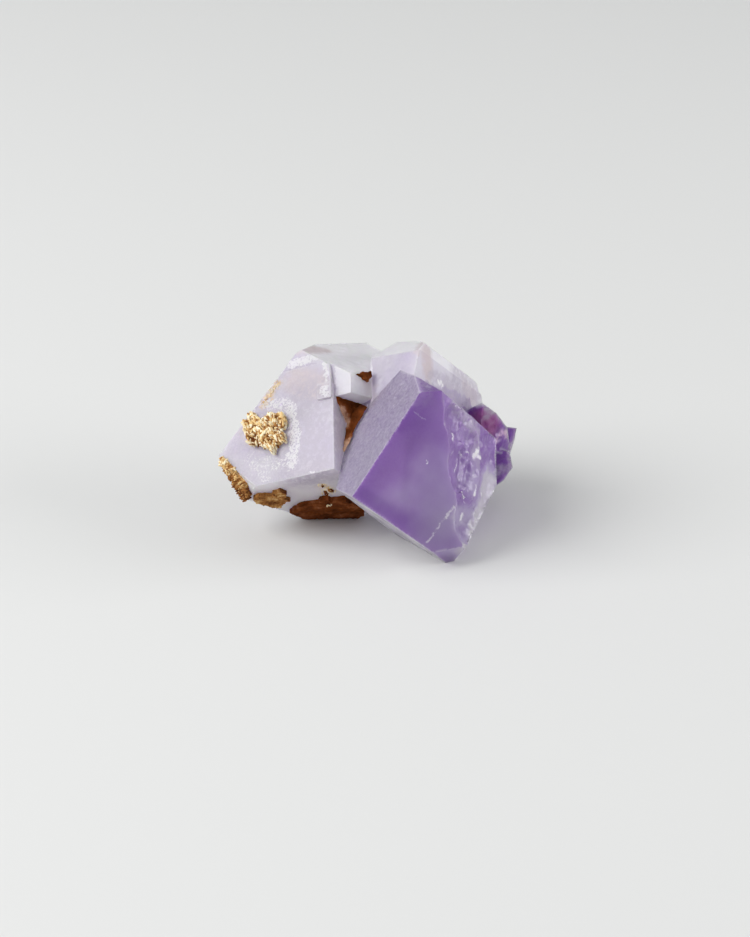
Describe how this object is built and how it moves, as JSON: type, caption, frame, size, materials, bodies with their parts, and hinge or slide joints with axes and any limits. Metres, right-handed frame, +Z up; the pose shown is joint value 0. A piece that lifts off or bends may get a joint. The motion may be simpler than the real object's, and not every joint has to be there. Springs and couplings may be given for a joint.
{
  "type": "fluorite crystal cluster",
  "caption": "Cluster of intergrown fluorite cubes with cleaved corners: a violet cube leaning into a pale lilac group, with rusty limonite crusts.",
  "frame": {"origin": "centre of the cluster's outline seen from above, at the height of the surface that it rests on", "axes": "+X right along the cluster's length, from the pale crystals to the violet one; +Y away from the front; +Z up"},
  "size_m": [0.0512, 0.039, 0.0328],
  "materials": {
    "fluorite": "frosted to glassy",
    "limonite": "rough, crumbly",
    "ochre": "rough, granular"
  },
  "bodies": {
    "root": {"fluorite_crystals": "fluorite", "pocket_limonite": "limonite", "notch_crust": "limonite", "foot_crust": "limonite", "underside_crust": "ochre", "corner_crust": "ochre", "golden_crust": "ochre"}
  },
  "joints": []
}
